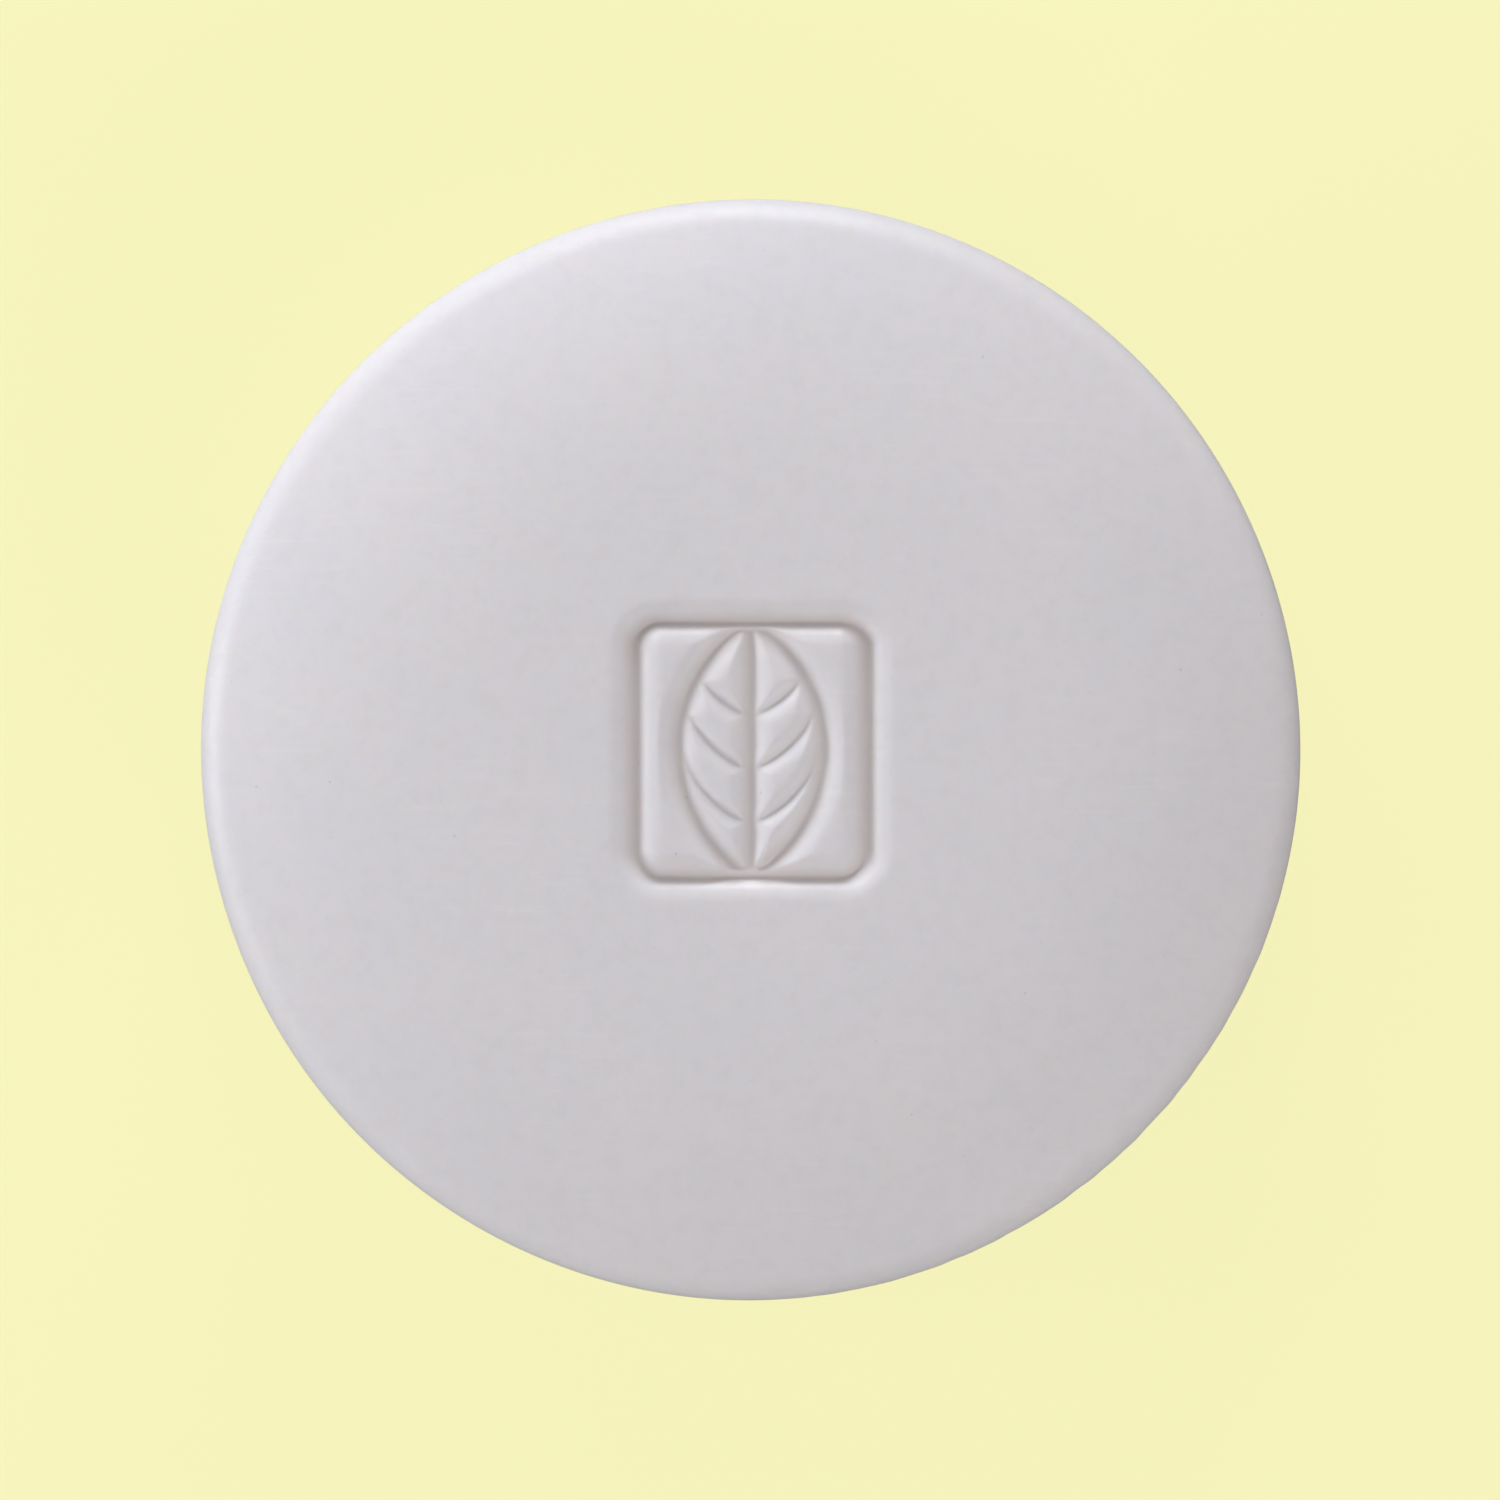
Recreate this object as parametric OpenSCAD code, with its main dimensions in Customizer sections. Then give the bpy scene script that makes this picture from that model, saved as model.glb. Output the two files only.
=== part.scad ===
// Shaving soap puck: one piece of pressed, milled soap.
// A round cake with a straight wall, a flat underside and a gently domed face.
// A shallow stamp sits in the middle of the face: a rounded border with a leaf in it.
// The origin is the middle of the underside. +Z leaves the stamped face, +Y runs to the leaf's tip.
// Units are millimetres.

/* [Puck] */
// Diameter across the straight wall
puck_d = 68; // [60:1:80]
// Thickness at the middle of the face
puck_t = 26; // [18:1:34]
// Fall of the domed face from its flat middle to the edge
crown_h = 2.8; // [1:0.1:3]
// Radius pressed round the edge of each face
edge_r = 1.5; // [0.8:0.1:2.5]

/* [Stamp border] */
// Width between the floors of the two side grooves
stamp_w = 14.3; // [13:0.1:16]
// Height between the floors of the top and bottom grooves
stamp_h = 15.7; // [14.5:0.1:18]
// Corner radius along the floor of the border groove
corner_r = 1.7; // [1.5:0.1:2.5]

/* [Grooves] */
// Width of the border, outline and midrib grooves
groove_w = 2.2; // [1.8:0.1:2.4]
// Depth of the border, outline and midrib grooves
groove_d = 0.7; // [0.4:0.05:0.8]
// Width of the side veins
vein_w = 1.5; // [1.2:0.1:1.7]
// Depth of the side veins
vein_d = 0.35; // [0.2:0.05:0.4]

/* [Leaf] */
// Width of the leaf between the floors of its outline grooves
leaf_w = 9; // [8:0.2:9.6]
// Spacing of the side veins along the midrib
vein_gap = 3.3; // [3:0.1:3.6]
// Radius of the side veins' sweep
vein_r = 7; // [7:0.5:9]
// Rise of each side vein above level where it leaves the midrib
vein_rise = 20; // [10:5:25]

/* [Hidden] */
$fn = 96;

// Puck outline
puck_r = puck_d / 2;
stamp_margin = 0.5;
stamp_reach = norm([stamp_w / 2 - corner_r, stamp_h / 2 - corner_r]) + corner_r + groove_w / 2;
flat_r = stamp_reach + stamp_margin;
dome_run = puck_r - edge_r - flat_r;
dome_arc_r = (pow(dome_run, 2) + pow(crown_h, 2)) / (2 * crown_h);
edge_z = puck_t - dome_arc_r + sqrt(pow(dome_arc_r - edge_r, 2) - pow(dome_run, 2));
dome_end_r = flat_r + dome_run * dome_arc_r / (dome_arc_r - edge_r);

// Groove sections
shoulder_tilt = 8;
floor_half = 0.06;
cut_above = 0.6;
cut_over = 0.1;

// Leaf
leaf_half_h = stamp_h / 2;
leaf_r = (pow(leaf_half_h, 2) + pow(leaf_w / 2, 2)) / leaf_w;
leaf_centre = leaf_r - leaf_w / 2;
leaf_half_angle = asin(leaf_half_h / leaf_r);
vein_pairs = 3;
vein_start_share = 0.29;
vein_first = -vein_start_share * stamp_h;

soap_puck();

// The whole puck: the pressed cake less the stamp.
module soap_puck() {
    color([0.86, 0.85, 0.87])
    difference() {
        rotate_extrude() half_section();
        translate([0, 0, puck_t]) stamp();
    }
}

// Half of the cake's section, cut into strips that meet where the arcs meet.
module half_section() {
    square([puck_r - edge_r, edge_r]);
    intersection() {
        translate([puck_r - edge_r, 0]) square([edge_r, edge_r]);
        translate([puck_r - edge_r, edge_r]) circle(r = edge_r);
    }
    translate([0, edge_r]) square([puck_r, edge_z - edge_r]);
    translate([0, edge_z]) square([flat_r, puck_t - edge_z]);
    intersection() {
        translate([flat_r, edge_z]) square([dome_end_r - flat_r, puck_t - edge_z]);
        translate([flat_r, puck_t - dome_arc_r]) circle(r = dome_arc_r);
    }
    intersection() {
        translate([dome_end_r, edge_z]) square([puck_r - dome_end_r, edge_r]);
        translate([puck_r - edge_r, edge_z]) circle(r = edge_r);
    }
}

// Everything the die presses out, with the face at z = 0.
module stamp() {
    border();
    for (side = [-1, 1]) {
        leaf_edge(side);
        for (i = [0 : vein_pairs - 1]) vein(side, vein_first + i * vein_gap);
    }
    straight_groove(stamp_h, groove_w, groove_d);
}

// The rounded rectangular groove round the leaf.
module border() {
    inner_w = stamp_w / 2 - corner_r;
    inner_h = stamp_h / 2 - corner_r;
    for (side = [-1, 1]) {
        translate([side * stamp_w / 2, 0, 0])
            straight_groove(2 * inner_h, groove_w, groove_d);
        translate([0, side * stamp_h / 2, 0]) rotate([0, 0, 90])
            straight_groove(2 * inner_w, groove_w, groove_d);
    }
    translate([inner_w, inner_h, 0]) arc_groove(corner_r, 0, 90, groove_w, groove_d);
    translate([-inner_w, inner_h, 0]) arc_groove(corner_r, 90, 90, groove_w, groove_d);
    translate([-inner_w, -inner_h, 0]) arc_groove(corner_r, 180, 90, groove_w, groove_d);
    translate([inner_w, -inner_h, 0]) arc_groove(corner_r, 270, 90, groove_w, groove_d);
}

// One side of the leaf's outline, side -1 left and 1 right.
module leaf_edge(side) {
    turn = side > 0 ? 0 : 180;
    translate([-side * leaf_centre, 0, 0])
        arc_groove(leaf_r, turn - leaf_half_angle, 2 * leaf_half_angle, groove_w, groove_d);
}

// One side vein, swept upwards from the midrib at height y to the leaf's outline.
module vein(side, y) {
    centre = [-vein_r * sin(vein_rise), y + vein_r * cos(vein_rise)];
    apart = norm(centre - [-leaf_centre, 0]);
    bearing = atan2(-centre[1], -leaf_centre - centre[0]);
    swing = acos((pow(apart, 2) + pow(vein_r, 2) - pow(leaf_r, 2)) / (2 * apart * vein_r));
    start = vein_rise - 90;
    finish = bearing + swing;
    mirror([side < 0 ? 1 : 0, 0, 0])
        translate([centre[0], centre[1], 0])
            arc_groove(vein_r, start, finish - start, vein_w, vein_d);
}

// A straight groove along Y, centred on the origin.
module straight_groove(length, width, depth) {
    translate([0, length / 2, 0]) rotate([90, 0, 0]) linear_extrude(height = length)
        groove_section(width, depth);
}

// A groove round an arc of radius r that starts at an angle and turns through a sweep.
module arc_groove(r, start, sweep, width, depth) {
    rotate([0, 0, start]) rotate_extrude(angle = sweep)
        translate([r, 0]) groove_section(width, depth);
}

// Section of a pressed groove: two rounded shoulders that fall to a narrow floor.
module groove_section(width, depth) {
    half = width / 2;
    chord = norm([half - floor_half, depth]);
    fall = atan2(depth, half - floor_half);
    foot_tilt = 2 * fall - shoulder_tilt;
    shoulder_r = chord / (2 * sin((foot_tilt - shoulder_tilt) / 2));
    difference() {
        translate([-half - cut_over, -depth]) square([width + 2 * cut_over, depth + cut_above]);
        for (side = [-1, 1])
            translate([side * (half + shoulder_r * sin(shoulder_tilt)), -shoulder_r * cos(shoulder_tilt)])
                circle(r = shoulder_r);
    }
}
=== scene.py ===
"""Shaving soap puck: the looks, built in the CAD frame.

The puck is one pressed cake, so one finely meshed piece stands for its one CAD node. Shape
lengths are in millimetres up to the point where a mesh is made, and Blender's are in metres.
"""
import math

import bpy
import numpy as np
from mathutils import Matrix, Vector


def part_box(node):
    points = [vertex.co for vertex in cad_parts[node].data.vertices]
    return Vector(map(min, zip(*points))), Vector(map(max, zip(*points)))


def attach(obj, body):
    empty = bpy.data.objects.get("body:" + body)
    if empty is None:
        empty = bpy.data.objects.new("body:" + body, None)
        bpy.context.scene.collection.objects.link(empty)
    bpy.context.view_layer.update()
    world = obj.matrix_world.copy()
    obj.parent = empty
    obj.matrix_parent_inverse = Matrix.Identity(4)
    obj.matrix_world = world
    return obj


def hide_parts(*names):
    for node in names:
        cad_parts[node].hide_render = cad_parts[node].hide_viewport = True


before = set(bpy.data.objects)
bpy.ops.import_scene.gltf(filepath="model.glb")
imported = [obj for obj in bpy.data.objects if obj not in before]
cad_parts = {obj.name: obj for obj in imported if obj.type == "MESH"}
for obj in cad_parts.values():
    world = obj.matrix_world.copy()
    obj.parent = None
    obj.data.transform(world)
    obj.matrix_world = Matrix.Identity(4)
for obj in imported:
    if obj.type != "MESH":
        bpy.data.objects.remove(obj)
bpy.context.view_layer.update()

MM = 0.001
NODE = "soap_puck"
SEED = 68

# The cake, from its CAD box and the CAD's driving dimensions
LOW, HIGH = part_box(NODE)
PUCK_R = (HIGH.x - LOW.x) / 2 / MM
PUCK_T = (HIGH.z - LOW.z) / MM
CROWN_FALL = 2.8
CROWN_POWER = 4.2
FACE_EDGE_RUN = 1.6
FACE_EDGE_FALL = 1.3
FACE_EDGE_POWER = 2.2
BASE_EDGE_R = 1.5

# Unevenness of the face, outline, wall and underside, as heights and as sizes of the lumps
LUMP_HEIGHT, LUMP_SIZE = 0.012, 9
SMALL_LUMP_HEIGHT, SMALL_LUMP_SIZE = 0.005, 3.1
RIPPLE_HEIGHT, RIPPLE_LENGTH, RIPPLE_WANDER = 0.008, 4.2, 1.2
RIPPLE_START, RIPPLE_RUN = 22, 8
BROAD_2, BROAD_4, FINE_OUTLINE, RAGGED_OUTLINE = 0.05, 0.04, 0.015, 0.02
WALL_UNEVEN, WALL_TWIST = 0.02, 0.9
HOLLOW_DEPTH, HOLLOW_SIZE, HOLLOW_RUN = 0.03, 7, 4

# The side of the face that is worn lower, the ragged stretch of outline, and the wall's parting line
WORN_BEARING = 0
WORN_HALF = math.radians(24)
WORN_FALL = 0.2
WORN_START = 24.0
RAGGED_BEARING = math.radians(-48)
RAGGED_HALF = math.radians(30)
PARTING_DROP = 1.1
PARTING_PROUD = 0.05
PARTING_HALF = 0.3

# The stamp. Each groove has half its width at the surface, its depth, and the half width of its soft floor.
STAMP_W = 14.3
STAMP_H = 15.7
STAMP_CORNER_R = 1.7
GROOVE_HALF = 1.5
GROOVE_DEPTH = 0.8
SHOULDER_POWER = 2.5
LEVEL_FLOOR = 0.15
UPRIGHT_FLOOR = 0.38
LEAF_W = 9.0
LEAF_HALF = 1.3
LEAF_DEPTH = 0.66
LEAF_FADE = 0.6
GROOVE_BLEND = 5
VEIN_HALF = 1.0
VEIN_DEPTH = 0.42
VEIN_GAP = 3.3
VEIN_FIRST = -0.29 * STAMP_H
VEIN_R = 7.0
VEIN_RISE = math.radians(20)
VEIN_PAIRS = 3

# The soap's finish. The pits are painted darker than the soap as shade in them, and light spreads a little
# way under its surface.
BUMP_DISTANCE = 0.02
SPECULAR = 0.45
GLOW_SHARE = 0.5
GLOW_RADII = (1.0, 0.7, 0.5)
GLOW_REACH = 0.6
PIT_SHADE = (160, 152, 150)

# The floor, lamps and camera. Distances are in metres and bearings and elevations in degrees.
FLOOR_COLOUR = (246, 244, 188)
FLOOR_GLOW = 1.03
PAPER_SHARE = 0.12
FLOOR_HALF = 3.0
LAMP_DISTANCE = 0.6
LAMP_SIZE = 0.25
COOL = (0.975, 1.0, 1.035)
WARM = (1.025, 1.0, 0.985)
LAMPS = (
    ("key", 120, 25, 0.75, COOL),
    ("key_top", 90, 12, 2.4, COOL),
    ("key_left", 180, 12, 1.74, COOL),
    ("key_lower_left", 210, 25, 0.35, COOL),
    ("fill_below", 300, 45, 0.9, WARM),
    ("fill_right", 330, 32, 0.52, WARM),
)
SURROUND_ABOVE = (0.284, 0.284, 0.284)
SURROUND_BELOW = (0.135, 0.13, 0.09)
HORIZON_HALF = 0.1
CAMERA_DISTANCE = 0.8
SENSOR_WIDTH = 36
FRAME_SHARE = 0.73313
FRAME_SHIFT = (-0.0004, -0.0002)

# The mesh: a square-celled patch over the stamp, then rings out over the edge and down to the underside
CELL = 0.11
PATCH_COLUMNS = 160
PATCH_ROWS = 176
FACE_RINGS = 50
RING_BUNCHING = 0.6
EDGE_RINGS = 12
WALL_RINGS = 13
PARTING_RINGS = 6
BASE_EDGE_RINGS = 8
BASE_STOPS = (29, 24, 17, 9, 3)
BASE_RING_GAP = 1.5


# ---- smooth repeatable unevenness ----

def lattice_noise(x, y, seed):
    """Smooth noise from -1 to 1 over the plane, with lumps about one unit apart."""
    size = 128
    table = np.random.default_rng(seed).uniform(-1, 1, (size, size))
    column, row = np.floor(x).astype(int), np.floor(y).astype(int)
    across, up = x - column, y - row
    across = across * across * (3 - 2 * across)
    up = up * up * (3 - 2 * up)

    def corner(i, j):
        return table[(row + j) % size, (column + i) % size]

    low = corner(0, 0) * (1 - across) + corner(1, 0) * across
    high = corner(0, 1) * (1 - across) + corner(1, 1) * across
    return low * (1 - up) + high * up


def ring_noise(angle, waves, seed):
    """Smooth noise round a circle, about -1 to 1, made of the given numbers of waves a turn."""
    phases = np.random.default_rng(seed).uniform(0, 2 * math.pi, len(waves))
    total = sum(np.cos(count * angle + phase) for count, phase in zip(waves, phases))
    return total / math.sqrt(len(waves))


# ---- the stamp's relief ----

def segment_distance(u, v, start, end):
    """Distance from points to a straight line between two ends."""
    du, dv = end[0] - start[0], end[1] - start[1]
    along = ((u - start[0]) * du + (v - start[1]) * dv) / (du * du + dv * dv)
    along = np.clip(along, 0, 1)
    return np.hypot(u - start[0] - along * du, v - start[1] - along * dv)


def arc_distance(u, v, centre, radius, middle, half_sweep):
    """Distance from points to an arc that reaches half_sweep each side of its middle bearing."""
    du, dv = u - centre[0], v - centre[1]
    off = (np.arctan2(dv, du) - middle + math.pi) % (2 * math.pi) - math.pi
    nearest = middle + np.clip(off, -half_sweep, half_sweep)
    return np.hypot(du - radius * np.cos(nearest), dv - radius * np.sin(nearest))


def border_distance(u, v):
    """How far points lie outside the stamp's border line, and how upright that line is there, 0 to 1."""
    over_u = np.abs(u) - (STAMP_W / 2 - STAMP_CORNER_R)
    over_v = np.abs(v) - (STAMP_H / 2 - STAMP_CORNER_R)
    out_u, out_v = np.maximum(over_u, 0), np.maximum(over_v, 0)
    outside = np.hypot(out_u, out_v)
    inside = np.minimum(np.maximum(over_u, over_v), 0)
    upright = np.where(outside > 0, (out_u / np.maximum(outside, 1e-9)) ** 2, over_u > over_v)
    return outside + inside - STAMP_CORNER_R, upright


def pressed(distance, half, depth, floor):
    """Depth of a groove whose rounded shoulders steepen to a soft floor."""
    rounded = np.sqrt(distance ** 2 + floor ** 2) - floor
    return depth * np.clip(1 - rounded / half, 0, 1) ** SHOULDER_POWER


def vein_arc(height):
    """Centre, middle bearing and half sweep of the right-hand vein that leaves the midrib at a height."""
    leaf_r = ((STAMP_H / 2) ** 2 + (LEAF_W / 2) ** 2) / LEAF_W
    leaf_centre = Vector((LEAF_W / 2 - leaf_r, 0))
    centre = Vector((-VEIN_R * math.sin(VEIN_RISE), height + VEIN_R * math.cos(VEIN_RISE)))
    gap = leaf_centre - centre
    swing = math.acos((gap.length ** 2 + VEIN_R ** 2 - leaf_r ** 2) / (2 * gap.length * VEIN_R))
    start = VEIN_RISE - math.pi / 2
    finish = math.atan2(gap.y, gap.x) + swing
    return centre, (start + finish) / 2, (finish - start) / 2


def stamp_depth(u, v):
    """How far the die presses the soap down at points measured from the stamp's middle."""
    half_h = STAMP_H / 2
    leaf_r = (half_h ** 2 + (LEAF_W / 2) ** 2) / LEAF_W
    side_u = np.abs(u)
    border, upright = border_distance(u, v)
    border_floor = LEVEL_FLOOR + (UPRIGHT_FLOOR - LEVEL_FLOOR) * upright
    within = smooth_step(-border / LEAF_FADE)
    midrib = segment_distance(u, v, (0, -half_h), (0, half_h))
    grooves = [
        pressed(np.abs(border), GROOVE_HALF, GROOVE_DEPTH, border_floor),
        pressed(midrib, LEAF_HALF, LEAF_DEPTH, UPRIGHT_FLOOR) * within,
    ]
    leaf_half = math.asin(half_h / leaf_r)
    edge = arc_distance(side_u, v, (LEAF_W / 2 - leaf_r, 0), leaf_r, 0, leaf_half)
    grooves.append(pressed(edge, LEAF_HALF, LEAF_DEPTH, UPRIGHT_FLOOR) * within)
    for i in range(VEIN_PAIRS):
        centre, middle, half = vein_arc(VEIN_FIRST + i * VEIN_GAP)
        away = arc_distance(side_u, v, centre, VEIN_R, middle, half)
        grooves.append(pressed(away, VEIN_HALF, VEIN_DEPTH, LEVEL_FLOOR))
    return sum(groove ** GROOVE_BLEND for groove in grooves) ** (1 / GROOVE_BLEND)


# ---- the cake's surface ----

def swell(x, y):
    """The shallow unevenness that wiping and drying leave on the face."""
    reach = np.hypot(x, y)
    angle = np.arctan2(y, x)
    lumps = LUMP_HEIGHT * lattice_noise(x / LUMP_SIZE + 40, y / LUMP_SIZE + 40, SEED)
    small = lattice_noise(x / SMALL_LUMP_SIZE + 70, y / SMALL_LUMP_SIZE + 70, SEED + 1)
    lumps = lumps + SMALL_LUMP_HEIGHT * small
    rim_share = np.clip((reach - RIPPLE_START) / RIPPLE_RUN, 0, 1)
    wandering = reach + RIPPLE_WANDER * ring_noise(angle, (1, 2, 3, 5), SEED + 2)
    ripple = np.cos(wandering * 2 * math.pi / RIPPLE_LENGTH)
    return lumps + RIPPLE_HEIGHT * rim_share * ripple * (0.6 + 0.4 * ring_noise(angle, (1, 2), SEED + 3))


def near_bearing(angle, bearing, half):
    """A smooth share that is 1 at a bearing and fades over an angle to each side of it."""
    off = (angle - bearing + math.pi) % (2 * math.pi) - math.pi
    return np.exp(-(off / half) ** 2)


def smooth_step(value):
    """A value held between 0 and 1 and eased at both ends."""
    value = np.clip(value, 0, 1)
    return value * value * (3 - 2 * value)


def face_height(x, y):
    """Height of the face, without its rounded edge, at points on it."""
    reach = np.hypot(x, y)
    fall = CROWN_FALL * (reach / (PUCK_R - BASE_EDGE_R)) ** CROWN_POWER
    worn_side = near_bearing(np.arctan2(y, x), WORN_BEARING, WORN_HALF)
    worn = WORN_FALL * worn_side * smooth_step((reach - WORN_START) / (PUCK_R - WORN_START))
    return PUCK_T - fall - worn + swell(x, y) - stamp_depth(x, y)


def out_of_round(angle):
    """How far the outline stands off its circle at a bearing."""
    broad = BROAD_2 * np.cos(2 * angle - 2.1) + BROAD_4 * np.cos(4 * angle + 0.4)
    fine = FINE_OUTLINE * ring_noise(angle, (3, 5, 6, 8), SEED + 4)
    ragged = RAGGED_OUTLINE * ring_noise(angle, (41, 58, 73, 97, 120), SEED + 5)
    return broad + fine + ragged * near_bearing(angle, RAGGED_BEARING, RAGGED_HALF)


def ring_points(angle, radius, z):
    """A ring of points at one nominal radius, slightly out of round."""
    reach = radius + out_of_round(angle) * radius / PUCK_R
    return np.stack([reach * np.cos(angle), reach * np.sin(angle), z + np.zeros_like(angle)], 1)


def patch_grid():
    """The square-celled patch over the stamp: its x and y by row and column."""
    x = (np.arange(PATCH_COLUMNS + 1) - PATCH_COLUMNS / 2) * CELL
    y = (np.arange(PATCH_ROWS + 1) - PATCH_ROWS / 2) * CELL
    return np.meshgrid(x, y)


def patch_border():
    """Row and column of the patch's border points, anticlockwise from its lower left corner."""
    rows, columns = PATCH_ROWS, PATCH_COLUMNS
    walk = [(0, c) for c in range(columns)]
    walk += [(r, columns) for r in range(rows)]
    walk += [(rows, columns - c) for c in range(columns)]
    walk += [(rows - r, 0) for r in range(rows)]
    return np.array(walk)


def border_bearings():
    """Bearing of each border point's partner on the round rings, with a quarter turn to each side."""
    quarter = math.pi / 2
    sides = []
    for side, count in enumerate((PATCH_COLUMNS, PATCH_ROWS, PATCH_COLUMNS, PATCH_ROWS)):
        sides.append(-1.5 * quarter + (side + np.arange(count) / count) * quarter)
    return np.concatenate(sides)


def face_rings(inner, angle):
    """Rings that turn from the patch's border into the circle where the edge starts."""
    outer = ring_points(angle, PUCK_R - FACE_EDGE_RUN, 0)[:, :2]
    rings = []
    for i in range(1, FACE_RINGS + 1):
        t = i / FACE_RINGS
        share = t - RING_BUNCHING * math.sin(2 * math.pi * t) / (2 * math.pi)
        at = inner * (1 - share) + outer * share
        rings.append(np.column_stack([at, face_height(at[:, 0], at[:, 1])]))
    return rings


def edge_rings(angle):
    """Rings over the rounded edge of the face, down to the top of the wall."""
    rings = []
    for i in range(1, EDGE_RINGS + 1):
        turn = i / EDGE_RINGS * math.pi / 2
        radius = PUCK_R - FACE_EDGE_RUN + FACE_EDGE_RUN * math.sin(turn) ** (2 / FACE_EDGE_POWER)
        ring = ring_points(angle, radius, 0)
        ring[:, 2] = face_height(ring[:, 0], ring[:, 1]) - FACE_EDGE_FALL * (1 - math.cos(turn))
        rings.append(ring)
    return rings


def wall_swell(angle, drop, share):
    """How far the wall stands off its cylinder, from a faint parting line and slight unevenness."""
    line = PARTING_PROUD * max(0, 1 - abs(drop - PARTING_DROP) / PARTING_HALF)
    uneven = WALL_UNEVEN * ring_noise(angle + WALL_TWIST * share, (4, 7, 11, 18), SEED + 6)
    return line * (0.7 + 0.3 * ring_noise(angle, (2, 5, 9), SEED + 7)) + uneven * 4 * share * (1 - share)


def wall_rings(top, angle):
    """Rings down the straight wall, past its parting line, to the start of the lower edge."""
    depth = top[:, 2].mean() - BASE_EDGE_R
    line_start = PARTING_DROP - PARTING_HALF
    shares = [(line_start + 2 * PARTING_HALF * i / PARTING_RINGS) / depth for i in range(PARTING_RINGS + 1)]
    below = shares[-1]
    shares += [below + (1 - below) * i / WALL_RINGS for i in range(1, WALL_RINGS + 1)]
    rings = []
    for share in shares:
        ring = ring_points(angle, PUCK_R + wall_swell(angle, share * depth, share), 0)
        ring[:, 2] = top[:, 2] * (1 - share) + BASE_EDGE_R * share
        rings.append(ring)
    return rings


def base_edge_rings(angle):
    """Rings round the lower edge, in to the flat underside."""
    rings = []
    for i in range(1, BASE_EDGE_RINGS + 1):
        turn = i / BASE_EDGE_RINGS * math.pi / 2
        radius = PUCK_R - BASE_EDGE_R * (1 - math.cos(turn))
        rings.append(ring_points(angle, radius, BASE_EDGE_R * (1 - math.sin(turn))))
    return rings


class Skin:
    """A mesh in the making: points, and faces that look outwards."""

    def __init__(self):
        self.points = []
        self.faces = []
        self.count = 0

    def add(self, points):
        """Adds points and returns their numbers."""
        numbers = np.arange(self.count, self.count + len(points))
        self.points.append(points)
        self.count += len(points)
        return numbers

    def band(self, upper, lower):
        """Joins two rings of as many points each. The second is further out or lower."""
        for i in range(len(upper)):
            j = (i + 1) % len(upper)
            self.faces.append((upper[i], lower[i], lower[j], upper[j]))

    def halving_band(self, upper, lower):
        """Joins a ring to one of half as many points."""
        n = len(lower)
        for i in range(n):
            j = (i + 1) % n
            a, b, c = upper[2 * i], upper[2 * i + 1], upper[(2 * i + 2) % len(upper)]
            self.faces.append((a, lower[i], b))
            self.faces.append((b, lower[i], lower[j]))
            self.faces.append((b, lower[j], c))

    def mesh(self, name):
        """The finished mesh, in metres."""
        mesh = bpy.data.meshes.new(name)
        points = np.concatenate(self.points) * MM
        mesh.from_pydata(points.tolist(), [], [tuple(int(i) for i in face) for face in self.faces])
        mesh.polygons.foreach_set("use_smooth", np.ones(len(mesh.polygons), bool))
        mesh.update()
        return mesh


def base_ring(angle, radius):
    """A ring of the underside, which is flat but for a few shallow hollows."""
    ring = ring_points(angle, radius, 0)
    hollow = HOLLOW_DEPTH * smooth_step((PUCK_R - BASE_EDGE_R - radius) / HOLLOW_RUN)
    lumps = lattice_noise(ring[:, 0] / HOLLOW_SIZE + 50, ring[:, 1] / HOLLOW_SIZE + 50, SEED + 8)
    ring[:, 2] = hollow * (0.5 + 0.5 * lumps)
    return ring


def underside(skin, ring, angle):
    """Closes the flat underside with rings that halve their points on the way in."""
    radius = PUCK_R - BASE_EDGE_R
    for target in BASE_STOPS:
        steps = max(1, round((radius - target) / BASE_RING_GAP))
        for i in range(1, steps + 1):
            at = radius + (target - radius) * i / steps
            lower = skin.add(base_ring(angle, at))
            skin.band(ring, lower)
            ring = lower
        radius = target
        if len(angle) % 2 == 0 and target > BASE_STOPS[-1]:
            angle = angle[::2]
            radius -= 1
            lower = skin.add(base_ring(angle, radius))
            skin.halving_band(ring, lower)
            ring = lower
    middle = skin.add(base_ring(np.zeros(1), 0))[0]
    for i in range(len(ring)):
        skin.faces.append((ring[i], middle, ring[(i + 1) % len(ring)]))


def cake():
    """The whole cake as one closed mesh object."""
    skin = Skin()
    x, y = patch_grid()
    numbers = skin.add(np.column_stack([x.ravel(), y.ravel(), face_height(x, y).ravel()]))
    numbers = numbers.reshape(x.shape)
    for r in range(PATCH_ROWS):
        for c in range(PATCH_COLUMNS):
            skin.faces.append((numbers[r, c], numbers[r, c + 1], numbers[r + 1, c + 1], numbers[r + 1, c]))
    walk = patch_border()
    ring = numbers[walk[:, 0], walk[:, 1]]
    inner = np.column_stack([x[walk[:, 0], walk[:, 1]], y[walk[:, 0], walk[:, 1]]])
    angle = border_bearings()
    rings = face_rings(inner, angle)
    rings += edge_rings(angle)
    rings += wall_rings(rings[-1], angle)
    rings += base_edge_rings(angle)
    for points in rings:
        lower = skin.add(points)
        skin.band(ring, lower)
        ring = lower
    underside(skin, ring, angle)
    cake_object = bpy.data.objects.new("pressed_cake", skin.mesh("pressed_cake"))
    bpy.context.scene.collection.objects.link(cake_object)
    return cake_object


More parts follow.
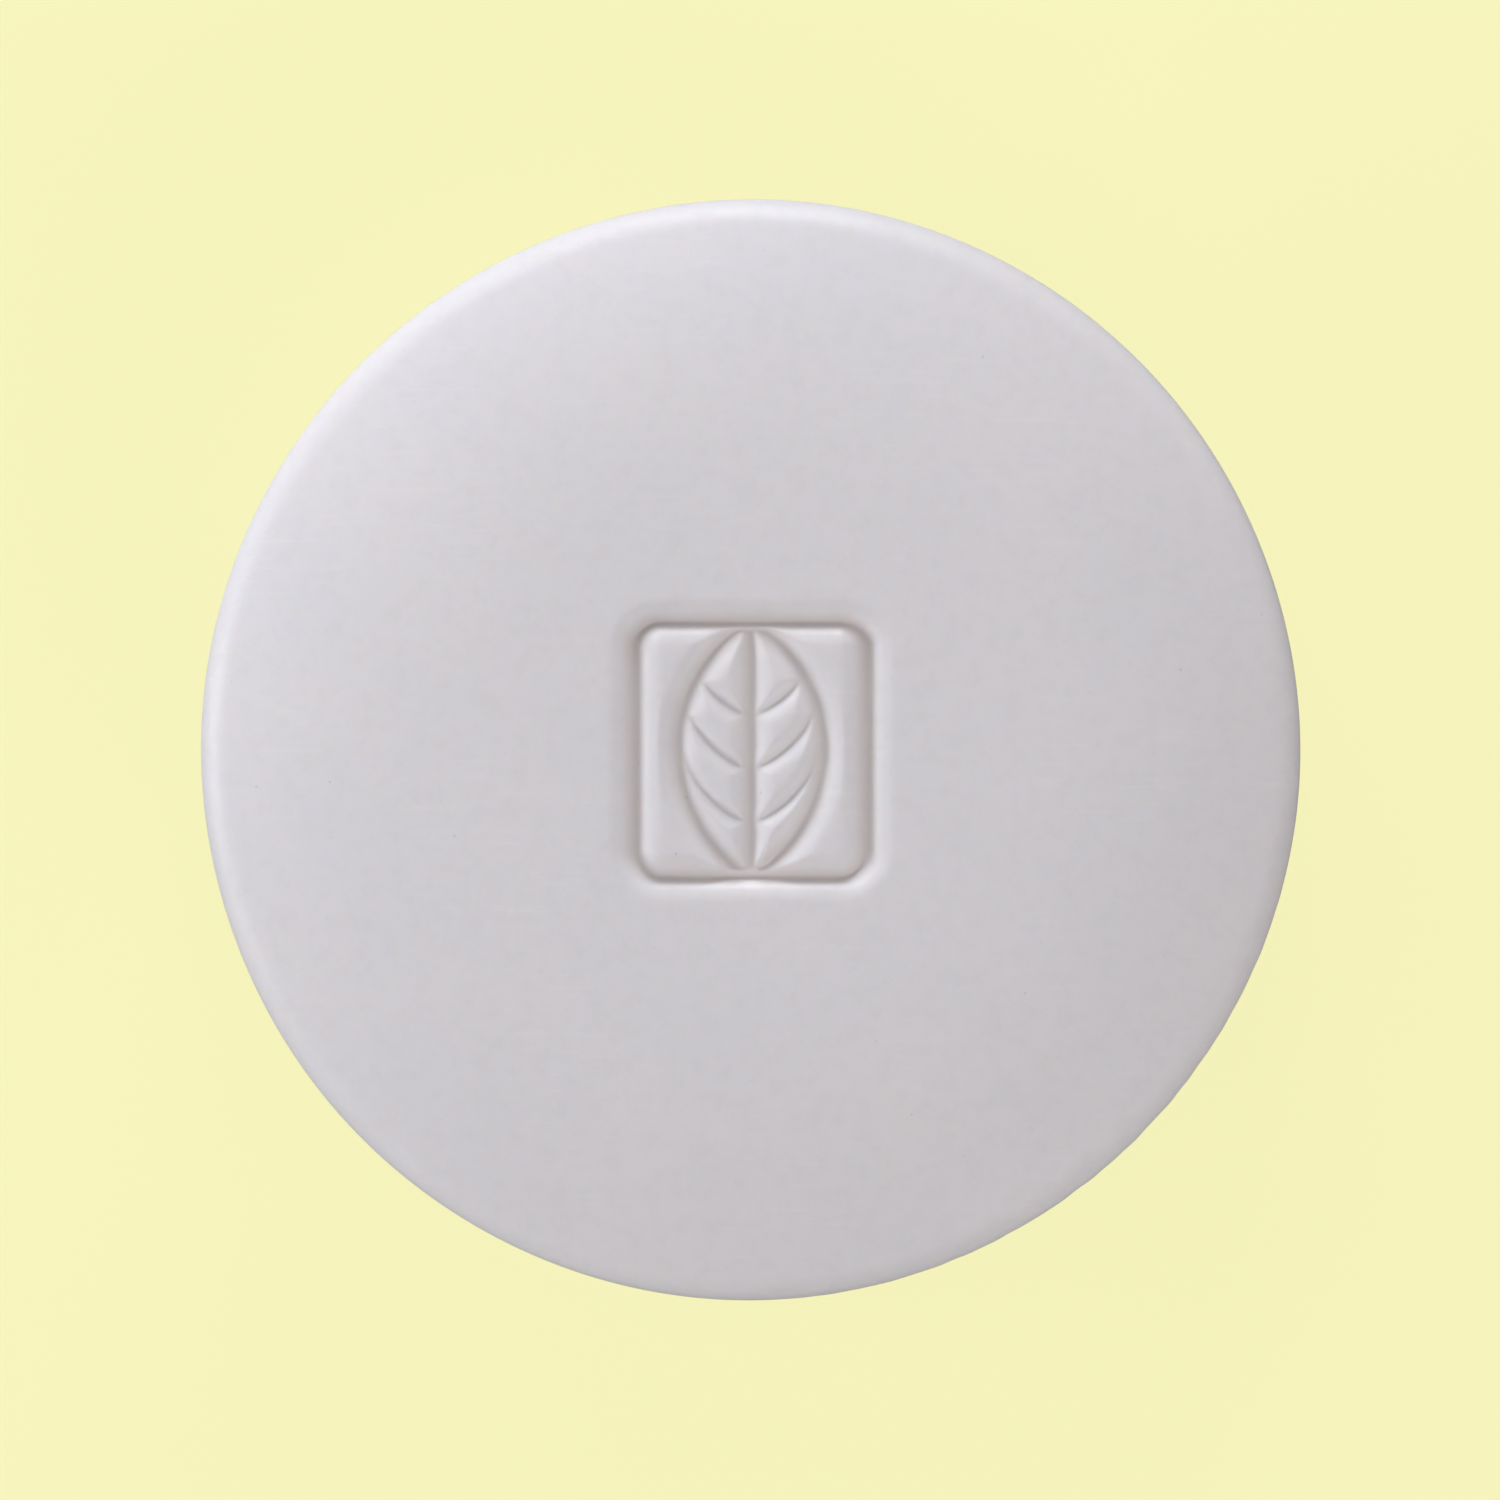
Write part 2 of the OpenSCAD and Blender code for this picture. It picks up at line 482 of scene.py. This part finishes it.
def mark_press(piece):
    """Stores how deep each point of the face is pressed, from 0 on the face to 1 on a groove's floor, for
    the painted shade and smoother finish in the grooves.
    """
    at = np.zeros(len(piece.data.vertices) * 3)
    piece.data.vertices.foreach_get("co", at)
    at = at.reshape(-1, 3) / MM
    depth = stamp_depth(at[:, 0], at[:, 1]) / GROOVE_DEPTH
    depth[at[:, 2] < PUCK_T / 2] = 0
    attribute = piece.data.attributes.new("press", "FLOAT", "POINT")
    attribute.data.foreach_set("value", depth.astype(np.float32))


# ---- materials ----

def srgb(red, green, blue):
    """Linear colour with full alpha from 8-bit sRGB values."""
    def linear(value):
        value = value / 255
        return value / 12.92 if value <= 0.04045 else ((value + 0.055) / 1.055) ** 2.4

    return (linear(red), linear(green), linear(blue), 1)


class Nodes:
    """Short calls that add shader nodes to one material."""

    def __init__(self, name):
        self.material = bpy.data.materials.new(name)
        self.material.use_nodes = True
        self.tree = self.material.node_tree
        self.tree.nodes.clear()

    def add(self, kind, inputs=None, **settings):
        """One node, with its settings and with values or sockets on its inputs."""
        node = self.tree.nodes.new(kind)
        for key, value in settings.items():
            setattr(node, key, value)
        for key, value in (inputs or {}).items():
            if isinstance(value, bpy.types.NodeSocket):
                self.tree.links.new(value, node.inputs[key])
            else:
                node.inputs[key].default_value = value
        return node

    def math(self, operation, a, b=0.0):
        """A Math node's result."""
        return self.add("ShaderNodeMath", {0: a, 1: b}, operation=operation).outputs[0]

    def ramp(self, value, low, high, to_low=0.0, to_high=1.0):
        """A value mapped from one range to another and held at the ends."""
        inputs = {"Value": value, "From Min": low, "From Max": high, "To Min": to_low, "To Max": to_high}
        return self.add("ShaderNodeMapRange", inputs, interpolation_type="SMOOTHSTEP").outputs[0]

    def noise(self, vector, scale, detail=2.0, roughness=0.5, distortion=0.0):
        """A noise texture's value, from 0 to 1."""
        inputs = {"Vector": vector, "Scale": scale, "Detail": detail, "Roughness": roughness,
                  "Distortion": distortion}
        return self.add("ShaderNodeTexNoise", inputs).outputs["Fac"]

    def mix(self, share, a, b):
        """Two colours mixed by a share."""
        node = self.add("ShaderNodeMix", data_type="RGBA")
        for key, value in ((0, share), (6, a), (7, b)):
            if isinstance(value, bpy.types.NodeSocket):
                self.tree.links.new(value, node.inputs[key])
            else:
                node.inputs[key].default_value = value
        return node.outputs[2]

    def finish(self, shader):
        """Links the shader to the output and returns the material."""
        output = self.add("ShaderNodeOutputMaterial")
        self.tree.links.new(shader.outputs[0], output.inputs["Surface"])
        return self.material


def turned(n, at, degrees, scale):
    """Coordinates turned about the vertical axis, then stretched by a scale on each axis."""
    inputs = {"Vector": at, "Rotation": (0, 0, math.radians(degrees)), "Scale": scale}
    return n.add("ShaderNodeMapping", inputs, vector_type="POINT").outputs[0]


def specks(n, at, scale, radius, share):
    """Scattered round specks: 1 in each speck and 0 outside, with a share of the cells holding one."""
    cells = n.add("ShaderNodeTexVoronoi", {"Vector": at, "Scale": scale}, feature="F1")
    chance = n.add("ShaderNodeSeparateColor", {0: cells.outputs["Color"]}).outputs[0]
    held = n.math("LESS_THAN", chance, share)
    spot = n.ramp(cells.outputs["Distance"], radius * 0.4 * scale, radius * scale, 1.0, 0.0)
    return n.math("MULTIPLY", spot, held)


def soap_material():
    """Milled soap: nearly white, waxy, mottled, wiped in one sweep, faintly pitted and scratched, with
    painted shade in its grooves and pits.
    """
    n = Nodes("soap")
    place = n.add("ShaderNodeTexCoord").outputs["Object"]
    at = n.add("ShaderNodeVectorMath", {0: place, "Scale": 1 / MM}, operation="SCALE").outputs[0]

    clouds = n.noise(at, 0.08, 2.0)
    mottle = n.noise(at, 0.9, 4.0, 0.6)
    grain = n.noise(at, 4.5, 2.0, 0.6)
    wipes = n.noise(turned(n, at, -58, (0.16, 2.2, 0.5)), 1.0, 3.0, 0.6, 0.3)
    patches = n.ramp(n.noise(at, 0.11, 1.0), 0.42, 0.62)
    wipes = n.math("MULTIPLY", n.math("SUBTRACT", wipes, 0.5), patches)
    pits = specks(n, at, 0.42, 0.13, 0.35)
    fine_pits = specks(n, at, 1.3, 0.06, 0.35)
    scratches = specks(n, turned(n, at, -64, (0.09, 1.1, 0.4)), 1.0, 0.045, 0.4)

    colour = n.mix(n.ramp(clouds, 0.3, 0.7), srgb(225, 221, 224), srgb(223, 220, 224))
    colour = n.mix(n.ramp(mottle, 0.4, 0.75, 0.0, 0.2), colour, srgb(208, 203, 206))
    colour = n.mix(n.ramp(wipes, 0.02, 0.2, 0.0, 0.12), colour, srgb(240, 238, 240))
    # Painted shade: the pits and fine pits are coloured darker, as shade in them
    colour = n.mix(n.math("MULTIPLY", pits, 0.25), colour, srgb(*PIT_SHADE))
    colour = n.mix(n.math("MULTIPLY", fine_pits, 0.2), colour, srgb(*PIT_SHADE))
    # Painted shade: the grooves are tinted a warm grey-brown towards their floors, standing in for the warm
    # shade in them
    press = n.add("ShaderNodeAttribute", attribute_name="press").outputs["Fac"]
    colour = n.mix(n.ramp(press, 0.15, 1.0, 0.0, 0.45), colour, srgb(196, 182, 173))

    height = n.math("MULTIPLY", mottle, 0.9)
    for feature, share in ((grain, 0.14), (wipes, 1.3), (pits, -1.2), (fine_pits, -0.5), (scratches, -0.6)):
        height = n.math("ADD", height, n.math("MULTIPLY", feature, share))
    bump = n.add("ShaderNodeBump", {"Strength": 0.35, "Distance": BUMP_DISTANCE * MM, "Height": height})
    roughness = n.math("ADD", n.ramp(mottle, 0.3, 0.7, 0.45, 0.52), n.math("MULTIPLY", pits, 0.2))
    shader = n.add("ShaderNodeBsdfPrincipled", {
        "Base Color": colour,
        "Roughness": n.math("SUBTRACT", roughness, n.ramp(press, 0.0, 0.15, 0.0, 0.12)),
        "Normal": bump.outputs[0],
    })
    shader.inputs["Specular IOR Level"].default_value = SPECULAR
    shader.inputs["Subsurface Weight"].default_value = GLOW_SHARE
    shader.inputs["Subsurface Radius"].default_value = GLOW_RADII
    shader.inputs["Subsurface Scale"].default_value = GLOW_REACH * MM
    return n.finish(shader)


def floor_material():
    """Pale yellow paper that mostly glows by itself and takes a very faint shadow."""
    n = Nodes("pale_floor")
    colour = srgb(*FLOOR_COLOUR)
    glow = n.add("ShaderNodeEmission", {"Color": colour, "Strength": FLOOR_GLOW})
    paper = n.add("ShaderNodeBsdfDiffuse", {"Color": colour})
    share = n.add("ShaderNodeMixShader", {"Fac": PAPER_SHARE, 1: glow.outputs[0], 2: paper.outputs[0]})
    return n.finish(share)


# ---- floor, lights and camera ----

def floor():
    """A wide plain floor under the puck, which neither tints the puck nor mirrors in it."""
    half = FLOOR_HALF
    corners = [(-half, -half, 0), (half, -half, 0), (half, half, 0), (-half, half, 0)]
    mesh = bpy.data.meshes.new("floor")
    mesh.from_pydata(corners, [], [(0, 1, 2, 3)])
    plane = bpy.data.objects.new("floor", mesh)
    plane.data.materials.append(floor_material())
    plane.visible_diffuse = False
    plane.visible_glossy = False
    bpy.context.scene.collection.objects.link(plane)


def softbox(name, bearing, elevation, watts, colour):
    """A square area light at a bearing from +X and an elevation, turned to the puck."""
    bearing, elevation = math.radians(bearing), math.radians(elevation)
    light = bpy.data.lights.new(name, "AREA")
    light.shape = "SQUARE"
    light.size = LAMP_SIZE
    light.energy = watts
    light.color = colour
    lamp = bpy.data.objects.new(name, light)
    level = math.cos(elevation)
    aim = Vector((level * math.cos(bearing), level * math.sin(bearing), math.sin(elevation)))
    lamp.location = LAMP_DISTANCE * aim
    lamp.rotation_euler = (-lamp.location).to_track_quat("-Z", "Y").to_euler()
    lamp.visible_camera = False
    bpy.context.scene.collection.objects.link(lamp)


def lights():
    """Soft studio light, cool from the upper left and warm from the lower right, in a dim surround."""
    for lamp in LAMPS:
        softbox(*lamp)
    surround(SURROUND_ABOVE, SURROUND_BELOW)


def surround(above, below):
    """A glow all round, with a dimmer colour below the floor's level for the floor's bounce."""
    world = bpy.data.worlds.new("surround")
    world.use_nodes = True
    tree = world.node_tree
    background = tree.nodes["Background"]
    background.inputs["Strength"].default_value = 1
    height = tree.nodes.new("ShaderNodeSeparateXYZ")
    tree.links.new(tree.nodes.new("ShaderNodeTexCoord").outputs["Generated"], height.inputs[0])
    share = tree.nodes.new("ShaderNodeMapRange")
    share.inputs["From Min"].default_value = -HORIZON_HALF
    share.inputs["From Max"].default_value = HORIZON_HALF
    tree.links.new(height.outputs["Z"], share.inputs["Value"])
    colour = tree.nodes.new("ShaderNodeMix")
    colour.data_type = "RGBA"
    colour.inputs[6].default_value = (*below, 1)
    colour.inputs[7].default_value = (*above, 1)
    tree.links.new(share.outputs[0], colour.inputs[0])
    tree.links.new(colour.outputs[2], background.inputs["Color"])
    bpy.context.scene.world = world


def camera():
    """Straight above the puck, far off on a long lens, with the puck across about 73% of the frame."""
    eye = bpy.data.cameras.new("camera")
    eye.sensor_width = SENSOR_WIDTH
    eye.lens = SENSOR_WIDTH * CAMERA_DISTANCE * FRAME_SHARE / (2 * PUCK_R * MM)
    eye.shift_x, eye.shift_y = FRAME_SHIFT
    holder = bpy.data.objects.new("camera", eye)
    holder.location = (0, 0, (PUCK_T - CROWN_FALL - FACE_EDGE_FALL) * MM + CAMERA_DISTANCE)
    bpy.context.scene.collection.objects.link(holder)
    bpy.context.scene.camera = holder


camera()
floor()
lights()
puck = cake()
mark_press(puck)
puck.data.materials.append(soap_material())
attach(puck, "root")
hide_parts(NODE)
bpy.context.scene.view_settings.view_transform = "Standard"
